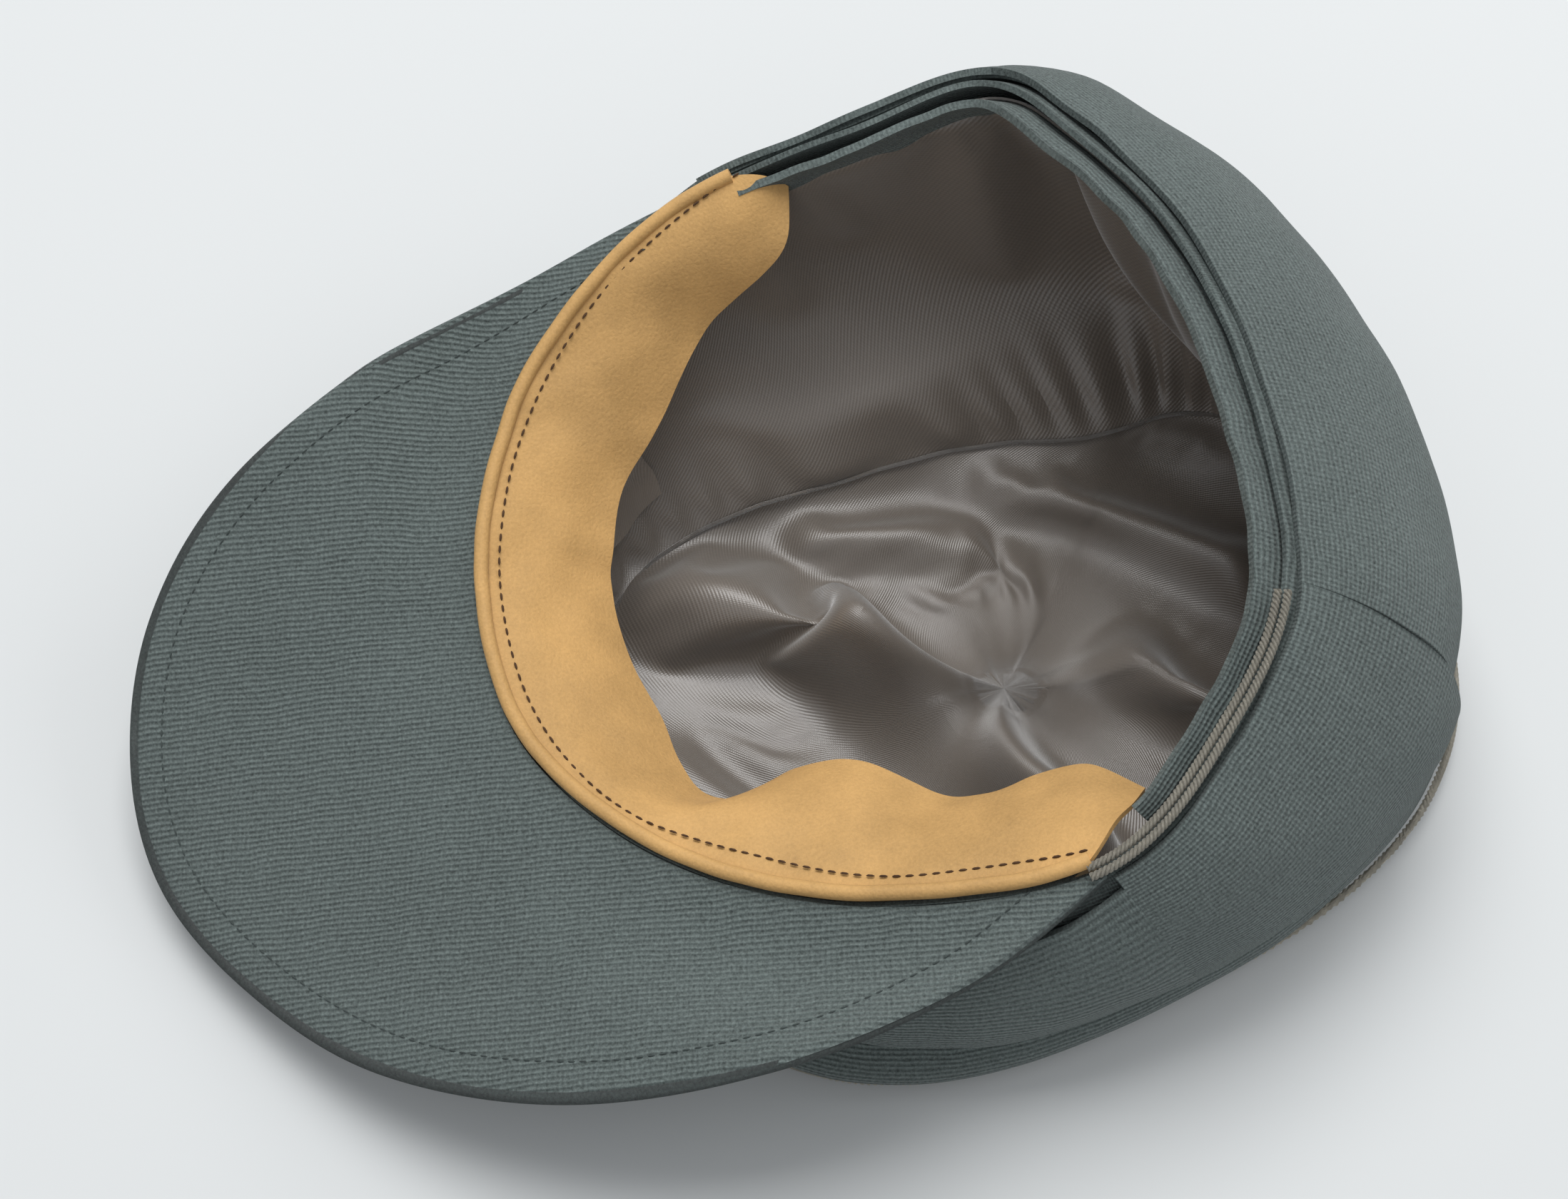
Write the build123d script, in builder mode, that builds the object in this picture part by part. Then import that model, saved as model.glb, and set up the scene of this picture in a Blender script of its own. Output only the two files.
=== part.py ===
"""Soft military peaked cap with a turn-up flap, lying upside down on its crown.

Millimetres, +Z up, origin at the centre of the crown's resting face, peak towards -Y.
The wall, the linings, the bands and the flap are all strips of one family of sections:
plane cuts that lean steadily from the flat crown to the tilted head opening.
"""
import math
import os

from build123d import *

os.makedirs("parts", exist_ok=True)

# ---- driving dimensions (mm) ----
CROWN_WIDTH = 158.0
CROWN_LENGTH = 208.0
CROWN_TURN = -4.0
CROWN_SQUARENESS = 2.8
RIM_FRONT_HEIGHT = 44.0
RIM_SLOPE = 0.345
RIM_SIDE_SLOPE = -0.045
RIM_SCALE = 1.0
RIM_CENTRE = (-25.0, -28.0)
# the outer edge of the head opening in plan, from the right temple round the back
RIM_OUTLINE = [
    (66, -28), (57, 5), (37, 32), (-4, 49), (-42, 55), (-76, 51), (-98, 42), (-108, 12),
    (-117, -23), (-112, -55), (-97, -82), (-70, -104), (-36, -114), (-4, -108), (24, -92),
    (48, -66),
]
# the peak's free edge in plan, from the left corner round the tip to the right corner
PEAK_OUTLINE = [
    (-117, -23), (-122, -55), (-123, -90), (-120, -140), (-106, -171), (-82, -190),
    (-53, -197), (-20, -190), (14, -173), (45, -142), (65, -103), (71, -64), (68, -28),
]
PEAK_SIDE_RISE = 11.0
PEAK_TIP_DROOP = 4.0
BOARD_THICKNESS = 1.8
COVER_THICKNESS = 0.9
PLY_GAP = 0.2
BOARD_INSET = 4.0

CLOTH = 1.6
LINING = 0.9
LEATHER = 1.3
SEAM_SHARE = 0.07
SIDE_BULGE = 8.0
RIGHT_BULGE = -0.5
BACK_BULGE = 7.0
WALL_TOP = 0.985
FLAP_TOP = 0.965
FLAP_GAP = 0.9
FLAP_PLY = 1.3
FLAP_SPLIT = 2.0
CORD_RADIUS = 0.9
PIPING_RADIUS = 1.1
BUTTON_RADIUS = 5.0
BUTTON_HEIGHT = 2.4

POINTS = 18
LEVELS = [0.1, 0.4, 0.7, 1.0]
HUB = (-24.0, -22.0)

# rays from the hub that part the flap into its pieces
BACK_LEFT = (-74.0, 66.0)
BACK_RIGHT = (62.0, 54.0)
RIGHT_FRONT = (92.0, -5.0)
LEFT_FRONT = (-93.0, 3.0)
FRONT = (-4.0, -90.0)

FLAP_BOTTOM = {"back": 0.48, "right": 0.32, "left": 0.37}
TAB_BOTTOM = 0.20
TAB_TOP = 0.78


def rim_z(x, y):
    """Height of the tilted head opening over a point of the plan."""
    return RIM_FRONT_HEIGHT + RIM_SLOPE * (y + 114.0) + RIM_SIDE_SLOPE * (x + 28.0)


def scaled_rim():
    cx, cy = RIM_CENTRE
    return [(cx + RIM_SCALE * (x - cx), cy + RIM_SCALE * (y - cy)) for x, y in RIM_OUTLINE]


def crown_point(share):
    """A point of the crown's edge, a share of a turn round from the right."""
    angle = 2 * math.pi * share
    c = math.cos(angle)
    s = math.sin(angle)
    x = CROWN_WIDTH / 2 * math.copysign(abs(c) ** (2 / CROWN_SQUARENESS), c)
    y = CROWN_LENGTH / 2 * math.copysign(abs(s) ** (2 / CROWN_SQUARENESS), s)
    turn = math.radians(CROWN_TURN)
    return x * math.cos(turn) - y * math.sin(turn), x * math.sin(turn) + y * math.cos(turn)


RIM_CURVE = Spline(*scaled_rim(), periodic=True)
RIM_POINTS = [(RIM_CURVE @ (i / POINTS)) for i in range(POINTS)]


def plan(share, grow):
    """Plan points of one section: a blend of crown and rim, let out to the sides."""
    flat = []
    for i in range(POINTS):
        cx, cy = crown_point(i / POINTS)
        r = RIM_POINTS[i]
        flat.append((cx + share * (r.X - cx), cy + share * (r.Y - cy)))
    out = []
    for i, (x, y) in enumerate(flat):
        ax, ay = flat[i - 1]
        bx, by = flat[(i + 1) % POINTS]
        dx, dy = bx - ax, by - ay
        size = math.hypot(dx, dy)
        nx, ny = dy / size, -dx / size
        bulge = (SIDE_BULGE + RIGHT_BULGE * nx + BACK_BULGE * ny) * 4 * share * (1 - share)
        bulge *= 0.6 + 0.8 * share
        out.append((x + nx * (bulge + grow), y + ny * (bulge + grow)))
    return out


def section_plane(share):
    """The plane of a section, level at the crown and tilted at the head opening."""
    normal = Vector(-share * RIM_SIDE_SLOPE, -share * RIM_SLOPE, 1.0)
    return Plane(origin=(0, 0, share * rim_z(0, 0)), x_dir=(1, 0, share * RIM_SIDE_SLOPE), z_dir=normal)


def on_plane(share, points):
    place = section_plane(share)
    result = []
    for x, y in points:
        p = place.to_local_coords(Vector(x, y, share * rim_z(x, y)))
        result.append((p.X, p.Y))
    return result


def section(share, grow):
    """The face of one section."""
    with BuildSketch(section_plane(share)) as face:
        with BuildLine():
            Spline(*on_plane(share, plan(share, grow)), periodic=True)
        make_face()
    return face.sketch


def steps(low, high):
    middle = [v for v in LEVELS if low + 0.06 < v < high - 0.06]
    return [low] + middle + [high]


def strip(low, high, inner, outer, rays=None):
    """A strip of wall between two sections and two offsets, kept between two rays."""
    with BuildPart() as made:
        loft(sections=[section(share, outer) for share in steps(low, high)])
        hollow = [section(share, inner) for share in steps(low - 0.012, high + 0.012)]
        loft(sections=hollow, mode=Mode.SUBTRACT)
        if rays:
            with BuildSketch(Plane.XY.offset(-20)):
                with BuildLine():
                    Polyline(*wedge(*rays), close=True)
                make_face()
            extrude(amount=180, mode=Mode.INTERSECT)
    return made


def wedge(start, end, gap=0.0):
    """A fan from the hub, counter-clockwise from one ray to the other."""
    hx, hy = HUB
    a0 = math.atan2(start[1], start[0])
    a1 = math.atan2(end[1], end[0])
    if a1 <= a0:
        a1 += 2 * math.pi
    middle = (a0 + a1) / 2
    near = gap / math.sin(min((a1 - a0) / 2, math.pi / 2)) if gap else 0.0
    fan = [(hx + near * math.cos(middle), hy + near * math.sin(middle))]
    for k in range(7):
        a = a0 + (a1 - a0) * k / 6
        fan.append((fan[0][0] + 260 * math.cos(a), fan[0][1] + 260 * math.sin(a)))
    return fan


def ring_cord(share, grow, radius):
    """A round cord lying along a section all the way round."""
    place = section_plane(share)
    with BuildPart() as made:
        with BuildLine(place) as path:
            Spline(*on_plane(share, plan(share, grow)), periodic=True)
        start = path.line @ 0
        with BuildSketch(Plane(origin=start, z_dir=path.line % 0)):
            Circle(radius)
        sweep(path=path.line)
    return made


def part_cord(share, grow, radius, first, last):
    """A round cord along part of a section, between two shares of its way round."""
    place = section_plane(share)
    ring = Spline(*on_plane(share, plan(share, grow)), periodic=True)
    shares = [first + (last - first) * k / 20 for k in range(21)]
    with BuildPart() as made:
        with BuildLine(place) as path:
            Spline(*[((ring @ v).X, (ring @ v).Y) for v in shares])
        with BuildSketch(Plane(origin=path.line @ 0, z_dir=path.line % 0)):
            Circle(radius)
        sweep(path=path.line)
    return made


def save(name, made):
    made.part.label = name
    export_step(made.part, f"parts/{name}.step")
    print(name, round(made.part.volume), len(made.part.solids()), made.part.is_valid)


# ---- crown and wall ----
def flat_section(height, grow):
    with BuildSketch(Plane.XY.offset(height)) as face:
        with BuildLine():
            Spline(*plan(0.0, grow), periodic=True)
        make_face()
    return face.sketch


with BuildPart() as crown_top:
    loft(sections=[flat_section(0.0, -7.0), section(0.03, -1.6), section(SEAM_SHARE - 0.005, 0.0)])
    hollow = [flat_section(CLOTH, -8.2), section(0.045, -CLOTH - 0.8), section(SEAM_SHARE + 0.02, -CLOTH)]
    loft(sections=hollow, mode=Mode.SUBTRACT)
save("crown_top_panel", crown_top)
save("crown_piping", ring_cord(SEAM_SHARE + 0.002, PIPING_RADIUS + 0.35, PIPING_RADIUS))
SEAM_RAYS = ((-4.0, -90.0), (4.0, 90.0))
save("side_panel_right", strip(SEAM_SHARE, WALL_TOP, -CLOTH, 0.0, SEAM_RAYS))
save("side_panel_left", strip(SEAM_SHARE, WALL_TOP, -CLOTH, 0.0, (SEAM_RAYS[1], SEAM_RAYS[0])))
save("front_stiffener", strip(0.2, 0.93, -CLOTH - 1.0, -CLOTH - PLY_GAP, ((-85, -46), (78, -60))))

# ---- lining ----
LINING_OUT = -CLOTH - 1.2
LINING_IN = LINING_OUT - LINING
with BuildPart() as lining_crown:
    loft(sections=[flat_section(CLOTH + 0.4, -10.0), flat_section(CLOTH + 0.4 + LINING, -10.0)])
save("lining_crown", lining_crown)
save("lining_side_right", strip(0.10, 0.95, LINING_IN, LINING_OUT, ((0, -90), (0, 90))))
save("lining_side_left", strip(0.10, 0.95, LINING_IN, LINING_OUT, ((0, 90), (0, -90))))
save("lining_crown_seam", ring_cord(0.115, LINING_IN - 1.0, 0.8))

# ---- head opening: inner band, leather sweatband, satin strip, tape over the back seam ----
BAND_OUT = LINING_IN - PLY_GAP
SWEAT_START = (-86.0, 18.0)
SWEAT_END = (90.0, -8.0)
save("rim_band", strip(0.90, 0.99, BAND_OUT - 1.4, BAND_OUT, ((91, -6), (-86, 20))))
save("satin_strip", strip(0.30, 0.62, BAND_OUT - 0.7, BAND_OUT, ((-88, -38), (12, -90))))
save("sweatband", strip(0.42, 1.0, BAND_OUT - 1.0 - LEATHER, BAND_OUT - 1.0, (SWEAT_START, SWEAT_END)))
save("sweatband_stitching", part_cord(0.92, BAND_OUT - 1.0 - LEATHER - 1.1, 0.45, 0.44, 0.98))
save("sweatband_fold", strip(1.006, 1.03, BAND_OUT - 1.0 - LEATHER, -0.4, ((-86, 14), (88, -10))))
save("back_seam_tape", strip(0.55, 0.89, BAND_OUT - 0.9, BAND_OUT, ((26, 82), (14, 88))))


# ---- twin braided cord beside the head opening at the right ----
def rim_cord(name, grow, lift):
    with BuildPart() as made:
        place = section_plane(1.0 + lift)
        points = on_plane(1.0 + lift, plan(1.0, grow))
        with BuildLine(place) as path:
            Spline(*(points[-1:] + points[0:4]))
        with BuildSketch(Plane(origin=path.line @ 0, z_dir=path.line % 0)):
            Circle(CORD_RADIUS)
        sweep(path=path.line)
    save(name, made)


rim_cord("rim_cord_inner", -2.7, 0.056)
rim_cord("rim_cord_outer", -0.7, 0.056)


# ---- peak ----
def peak_z(x, y):
    """Height of the peak's under face, which faces up here."""
    mx, my = x + 28.0, y + 48.0
    reach = math.hypot(mx / 95.0, min(my - 20.0, 0.0) / 86.0)
    share = min(max((reach - 1.0) / 0.35, 0.0), 1.0)
    rise = PEAK_SIDE_RISE * (mx / 90.0) ** 2 * share * share * (3 - 2 * share)
    droop = PEAK_TIP_DROOP * (max(-66.0 - my, 0.0) / 76.0) ** 2
    return rim_z(x, y) + rise - droop


def inset_outline(inset):
    """The peak's outline moved in towards its middle."""
    result = []
    for i, (x, y) in enumerate(PEAK_OUTLINE):
        ax, ay = PEAK_OUTLINE[max(i - 1, 0)]
        bx, by = PEAK_OUTLINE[min(i + 1, len(PEAK_OUTLINE) - 1)]
        size = math.hypot(bx - ax, by - ay)
        result.append((x - (by - ay) / size * inset, y + (bx - ax) / size * inset))
    return result


def peak_slab(top, bottom, inset):
    """One layer of the peak: a curved slab trimmed to the outline and to the wall."""
    across = [-136 + 12.0 * k for k in range(19)]
    with BuildPart() as made:
        for y in [-206, -188, -168, -148, -128, -108, -88, -68, -48, -28, -8]:
            with BuildSketch(Plane(origin=(0, y, 0), x_dir=(1, 0, 0), z_dir=(0, -1, 0))):
                with BuildLine():
                    upper = Spline(*[(x, peak_z(x, y) - top) for x in across])
                    lower = Spline(*[(x, peak_z(x, y) - bottom) for x in across])
                    Line(upper @ 0, lower @ 0)
                    Line(upper @ 1, lower @ 1)
                make_face()
        loft()
        with BuildSketch(Plane.XY.offset(-20)):
            with BuildLine():
                edge = Spline(*inset_outline(inset))
                Polyline(edge @ 1, (20, -20), (-70, -20), edge @ 0)
            make_face()
        extrude(amount=180, mode=Mode.INTERSECT)
        body = [section(share, 0.35 + inset * 0.2) for share in (0.7, 0.8, 0.9, 1.0, 1.1)]
        loft(sections=body, mode=Mode.SUBTRACT)
        outside = made.part.solids().sort_by(SortBy.VOLUME)[-1]
    with BuildPart() as kept:
        add(outside)
    return kept


UNDER = COVER_THICKNESS
BOARD_TOP = UNDER + PLY_GAP
BOARD_LOW = BOARD_TOP + BOARD_THICKNESS
save("peak_under_cover", peak_slab(0.0, UNDER, 0.0))
save("peak_board", peak_slab(BOARD_TOP, BOARD_LOW, BOARD_INSET))
save("peak_upper_cover", peak_slab(BOARD_LOW + PLY_GAP, BOARD_LOW + PLY_GAP + UNDER, 0.0))


def peak_cord(name, inset, depth, radius):
    """A thin cord that follows the peak's edge over its curved face."""
    with BuildPart() as made:
        flat = Spline(*inset_outline(inset))
        points = []
        for k in range(25):
            p = flat @ (0.08 + 0.84 * k / 24)
            points.append((p.X, p.Y, peak_z(p.X, p.Y) - depth))
        with BuildLine() as path:
            Spline(*points)
        with BuildSketch(Plane(origin=path.line @ 0, z_dir=path.line % 0)):
            Circle(radius)
        sweep(path=path.line)
    save(name, made)


peak_cord("peak_edge_seam", 1.6, (BOARD_TOP + BOARD_LOW) / 2, 0.6)
peak_cord("peak_stitching", 8.5, -0.7, 0.35)

# ---- turn-up flap: three panels and two front tabs, each with a facing ply ----
FACE_IN = FLAP_GAP
FACE_OUT = FACE_IN + FLAP_PLY
SHELL_IN = FACE_OUT + PLY_GAP
SHELL_OUT = SHELL_IN + FLAP_PLY
PANELS = {
    "back": (BACK_RIGHT, BACK_LEFT),
    "right": (RIGHT_FRONT, BACK_RIGHT),
    "left": (BACK_LEFT, LEFT_FRONT),
}
for side, rays in PANELS.items():
    low = FLAP_BOTTOM[side]
    split = rays + (FLAP_SPLIT,)
    save(f"flap_{side}_facing", strip(low + 0.01, FLAP_TOP, FACE_IN, FACE_OUT, split))
    save(f"flap_{side}_outer", strip(low, FLAP_TOP, SHELL_IN, SHELL_OUT, split))
TABS = {"right": (FRONT, RIGHT_FRONT), "left": (LEFT_FRONT, FRONT)}
for side, rays in TABS.items():
    split = rays + (FLAP_SPLIT,)
    save(f"front_tab_{side}", strip(TAB_BOTTOM, TAB_TOP, FACE_IN, SHELL_OUT - 0.4, split))

# ---- front closure: a tongue on the right tab with two small buttons ----
TONGUE_IN = SHELL_OUT
TONGUE_OUT = TONGUE_IN + 1.8
save("front_tongue", strip(TAB_BOTTOM + 0.03, TAB_TOP - 0.03, TONGUE_IN, TONGUE_OUT, ((-16, -90), (16, -90))))


def front_point(share):
    """The foremost point of the tongue's outer face at one section."""
    ring = Spline(*plan(share, TONGUE_OUT), periodic=True)
    return min((ring @ (0.7 + 0.15 * k / 60) for k in range(61)), key=lambda p: p.Y)


def button(name, share):
    """A button with a short thread shank, square to the tongue."""
    p = front_point(share)
    below = front_point(share - 0.08)
    z = share * rim_z(p.X, p.Y)
    lean = (p.Y - below.Y) / (z - (share - 0.08) * rim_z(below.X, below.Y))
    place = Plane(origin=(p.X, p.Y - 0.5, z), x_dir=(1, 0, 0), z_dir=(0, -1, lean))
    with BuildPart() as made:
        with BuildSketch(place):
            Circle(1.6)
        extrude(amount=1.6)
        with BuildSketch(place.offset(1.4)):
            Circle(BUTTON_RADIUS)
        extrude(amount=BUTTON_HEIGHT, taper=18)
    save(name, made)


button("front_button_upper", 0.34)
button("front_button_lower", 0.62)
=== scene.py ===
"""Soft military peaked cap lying upside down on its crown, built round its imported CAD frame."""

import math

import bmesh
import bpy
import numpy as np
from bpy.props import FloatProperty, FloatVectorProperty, PointerProperty
from mathutils import Matrix, Vector, noise


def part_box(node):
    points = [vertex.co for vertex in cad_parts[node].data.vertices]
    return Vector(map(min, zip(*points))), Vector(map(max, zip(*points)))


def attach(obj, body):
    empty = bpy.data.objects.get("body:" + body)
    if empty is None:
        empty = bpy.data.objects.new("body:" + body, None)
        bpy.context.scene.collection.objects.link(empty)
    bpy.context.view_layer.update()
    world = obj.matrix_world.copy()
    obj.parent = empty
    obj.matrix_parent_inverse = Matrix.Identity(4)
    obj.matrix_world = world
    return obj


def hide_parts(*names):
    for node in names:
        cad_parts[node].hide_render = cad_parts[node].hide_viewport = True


bl_info = {
    "name": "Soft Peaked Cap",
    "version": (1, 0, 0),
    "blender": (4, 5, 0),
    "location": "View3D > Sidebar > Cap",
    "description": "Makes a soft peaked cap with its lining, sweatband, peak and turn-up flap",
    "category": "Object",
}

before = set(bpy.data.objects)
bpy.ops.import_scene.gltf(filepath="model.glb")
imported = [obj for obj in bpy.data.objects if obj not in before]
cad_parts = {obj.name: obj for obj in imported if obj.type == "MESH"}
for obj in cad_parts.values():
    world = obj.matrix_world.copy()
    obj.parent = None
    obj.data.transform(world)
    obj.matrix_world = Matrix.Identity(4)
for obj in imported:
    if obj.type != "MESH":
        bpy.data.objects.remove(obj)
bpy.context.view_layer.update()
MM = 0.001

# ---- the cap's form, in millimetres ----
RIM_OUTLINE = [
    (66, -28), (57, 5), (37, 32), (-4, 49), (-42, 55), (-76, 51), (-98, 42), (-108, 12),
    (-117, -23), (-112, -55), (-97, -82), (-70, -104), (-36, -114), (-4, -108), (24, -92),
    (48, -66),
]
PEAK_OUTLINE = [
    (-117, -23), (-122, -55), (-123, -90), (-120, -140), (-106, -171), (-82, -190),
    (-53, -197), (-20, -190), (14, -173), (45, -142), (65, -103), (71, -64), (68, -28),
]
# the sweatband's wavy free edge, from the left end round the front to the right end
SWEAT_EDGE = [
    (-107, -1, 80), (-99, -6, 74), (-97, -14, 67), (-98, -27, 57), (-91, -40, 50), (-84, -52, 44),
    (-77, -64, 40), (-66, -72, 36), (-59, -77, 33), (-43, -81, 30), (-27, -82, 29), (-6, -84, 31),
    (4, -77, 34), (4, -64, 36), (11, -51, 40), (27, -42, 45), (35, -34, 49), (37, -23, 51),
    (42, -13, 55), (54, -8, 61),
]
HUB = (-24.0, -22.0)
STEPS = 360
CROWN_HALF_WIDTH = 79.0
CROWN_HALF_LENGTH = 104.0
CROWN_SQUARENESS = 2.8
CROWN_TURN = math.radians(-4.0)
RIM_FRONT = (-28.0, -114.0)
RIM_FRONT_HEIGHT = 44.0
RIM_RISE_TO_BACK = 0.345
RIM_FALL_TO_RIGHT = 0.045

# ---- how the layers of cloth lie, in millimetres from the cap's middle surface ----
WALL_SET_IN = 0.8
WALL_CLOTH = 1.4
FLAP_TOP = 0.985
FACING_TOP = 0.965
FACING_SET_OUT = 1.45
FACING_CLOTH = 1.2
FLAP_CLOTH = 1.6
FLAP_RIPPLE = (0.8, 18.0, 7.0)
RIPPLE_SEED = 1795054520
LINING_SET_IN = 3.8
LINING_CLOTH = 0.5
BAND_SET_IN = 5.6
BAND_CLOTH = 1.8
LEATHER = 1.1

# ---- the lining's rows of cloth, from the middle of the crown to the hem ----
SEAM_SHARE = 0.13
SEAM_ROW = 30
POLE_ROWS = 6
CALM_ROWS = 13
SETTLE_FRAMES = 26
LEVELS = 60


class CapSizes(bpy.types.PropertyGroup):
    """The sizes a maker would change, and the colours of the cloths."""
    rib_pitch: FloatProperty(
        name="Rib pitch", description="Distance between two ribs of the cap cloth",
        default=0.0012, unit="LENGTH")
    lining_slack: FloatProperty(
        name="Lining slack", description="How much larger the lining is cut than the crown",
        default=0.07, subtype="FACTOR")
    stitch_pitch: FloatProperty(
        name="Stitch pitch", description="Distance between two stitches of the sweatband",
        default=0.0028, unit="LENGTH")
    cloth: FloatVectorProperty(
        name="Cap cloth", description="Colour of the ribbed cap cloth",
        default=(0.118, 0.142, 0.136), subtype="COLOR")
    lining: FloatVectorProperty(
        name="Lining", description="Colour of the satin lining",
        default=(0.150, 0.127, 0.106), subtype="COLOR")
    leather: FloatVectorProperty(
        name="Leather", description="Colour of the sweatband",
        default=(0.54, 0.32, 0.118), subtype="COLOR")
    cord: FloatVectorProperty(
        name="Cord", description="Colour of the braided cords",
        default=(0.70, 0.65, 0.53), subtype="COLOR")


def cap():
    """The cap's sizes and colours, as set in the sidebar."""
    return bpy.context.scene.cap_sizes


# ---- sections of the cap's body ----
def rounded(points, steps, closed):
    """Points evenly along a smooth curve through the given ones."""
    p = np.array(points, float)
    n = len(p)
    dense = []
    spans = n if closed else n - 1
    for i in range(spans):
        if closed:
            a, b, c, d = (p[(i + k) % n] for k in (-1, 0, 1, 2))
        else:
            a, b, c, d = (p[min(max(i + k, 0), n - 1)] for k in (-1, 0, 1, 2))
        for k in range(24):
            t = k / 24
            dense.append(0.5 * ((2 * b) + (c - a) * t + (2 * a - 5 * b + 4 * c - d) * t * t
                                + (3 * b - a - 3 * c + d) * t ** 3))
    dense.append(p[0] if closed else p[-1])
    dense = np.array(dense)
    run = np.concatenate([[0], np.cumsum(np.linalg.norm(np.diff(dense, axis=0), axis=1))])
    at = np.linspace(0, run[-1], steps + 1)[: steps if closed else steps + 1]
    return np.stack([np.interp(at, run, dense[:, k]) for k in range(p.shape[1])], axis=1)


def crown_outline():
    """The crown's outline, a squared oval turned a little against the peak."""
    angle = 2 * math.pi * np.arange(STEPS) / STEPS
    c, s = np.cos(angle), np.sin(angle)
    power = 2 / CROWN_SQUARENESS
    x = CROWN_HALF_WIDTH * np.sign(c) * np.abs(c) ** power
    y = CROWN_HALF_LENGTH * np.sign(s) * np.abs(s) ** power
    tc, ts = math.cos(CROWN_TURN), math.sin(CROWN_TURN)
    return np.stack([x * tc - y * ts, x * ts + y * tc], axis=1)


RIM = rounded(RIM_OUTLINE, STEPS, True)
CROWN = crown_outline()


def rim_z(x, y):
    """Height of the head opening's sloping plane."""
    return RIM_FRONT_HEIGHT + RIM_RISE_TO_BACK * (y - RIM_FRONT[1]) - RIM_FALL_TO_RIGHT * (x - RIM_FRONT[0])


def ring(share, grow=0.0):
    """One section of the wall: share 0 is the crown, 1 the head opening."""
    flat = CROWN + share * (RIM - CROWN)
    run = np.roll(flat, -3, axis=0) - np.roll(flat, 3, axis=0)
    run /= np.linalg.norm(run, axis=1)[:, None]
    normal = np.stack([run[:, 1], -run[:, 0]], axis=1)
    fullness = 8.0 - 0.5 * normal[:, 0] + 7.0 * normal[:, 1]
    bulge = fullness * 4 * share * (1 - share) * (0.6 + 0.8 * share)
    # the cloth sags outwards low down at the front right
    sag = np.maximum(0.88 * normal[:, 0] - 0.47 * normal[:, 1], 0.0) ** 3
    bulge = bulge + 8.5 * sag * math.exp(-((share - 0.19) / 0.12) ** 2)
    xy = flat + normal * (bulge + grow)[:, None]
    return np.concatenate([xy, (share * rim_z(xy[:, 0], xy[:, 1]))[:, None]], axis=1)


def share_at(ray):
    """The share of a turn at which the head opening crosses a ray from the hub."""
    want = math.atan2(ray[1], ray[0])
    angle = np.arctan2(RIM[:, 1] - HUB[1], RIM[:, 0] - HUB[0])
    return int(np.argmin(np.abs(np.angle(np.exp(1j * (angle - want))))))


def span(start, end):
    """Section indices from one place to another, counter-clockwise."""
    if end <= start:
        end += STEPS
    return [k % STEPS for k in range(start, end + 1)]


def wall_grid(shares, grow, picks=None):
    """Rows of points up the wall; grow may change from row to row."""
    rows = []
    for k, share in enumerate(shares):
        g = grow[k] if hasattr(grow, "__len__") else grow
        row = ring(share, g)
        rows.append(row if picks is None else row[picks])
    return np.array(rows)


def ripple(points, size, scale, seed):
    """Soft uneven swelling in every direction, in millimetres, the same in every run."""
    noise.seed_set(RIPPLE_SEED)
    out = points.copy()
    flat = out.reshape(-1, 3)
    for p in flat:
        v = Vector((p[0] / scale, p[1] / scale, p[2] / scale + seed))
        d = noise.noise_vector(v)
        p += np.array(d) * size
    return out


# ---- meshes ----
def sheet_object(name, grid, closed=False, thick=0.0, swap=False):
    """A cloth sheet from rows of points in millimetres, with its own UV map in metres."""
    rows, cols = grid.shape[:2]
    mesh = bpy.data.meshes.new(name)
    verts = (grid.reshape(-1, 3) * MM).tolist()
    faces = []
    last = cols if closed else cols - 1
    for r in range(rows - 1):
        for c in range(last):
            d = (c + 1) % cols
            quad = (r * cols + c, r * cols + d, (r + 1) * cols + d, (r + 1) * cols + c)
            faces.append(quad[::-1] if swap else quad)
    mesh.from_pydata(verts, [], faces)
    wrap = np.concatenate([grid, grid[:, :1]], axis=1) if closed else grid
    middle = wrap[rows // 2]
    along = np.concatenate([[0], np.cumsum(np.linalg.norm(np.diff(middle, axis=0), axis=1))]) * MM
    side = np.linalg.norm(np.diff(wrap, axis=0), axis=2).mean(axis=1) * MM
    up = np.concatenate([[0], np.cumsum(side)])
    uv = mesh.uv_layers.new(name="UVMap")
    k = 0
    for r in range(rows - 1):
        for c in range(last):
            corners = [(c, r), (c + 1, r), (c + 1, r + 1), (c, r + 1)]
            for cc, rr in corners[::-1] if swap else corners:
                uv.data[k].uv = (along[cc], up[rr])
                k += 1
    mesh.update()
    obj = bpy.data.objects.new(name, mesh)
    bpy.context.scene.collection.objects.link(obj)
    if thick:
        thicken(obj, thick)
    smooth(obj)
    return obj


def only(obj):
    bpy.ops.object.select_all(action="DESELECT")
    obj.select_set(True)
    bpy.context.view_layer.objects.active = obj


def apply_modifier(obj, kind, **values):
    """Give a piece a modifier with the given settings and apply it."""
    only(obj)
    mod = obj.modifiers.new(kind.title(), kind)
    for key, value in values.items():
        setattr(mod, key, value)
    bpy.ops.object.modifier_apply(modifier=mod.name)


def thicken(obj, thick):
    apply_modifier(obj, "SOLIDIFY", thickness=thick * MM, offset=0.0)


def smooth(obj):
    only(obj)
    bpy.ops.object.shade_smooth_by_angle(angle=math.radians(50))


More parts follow.
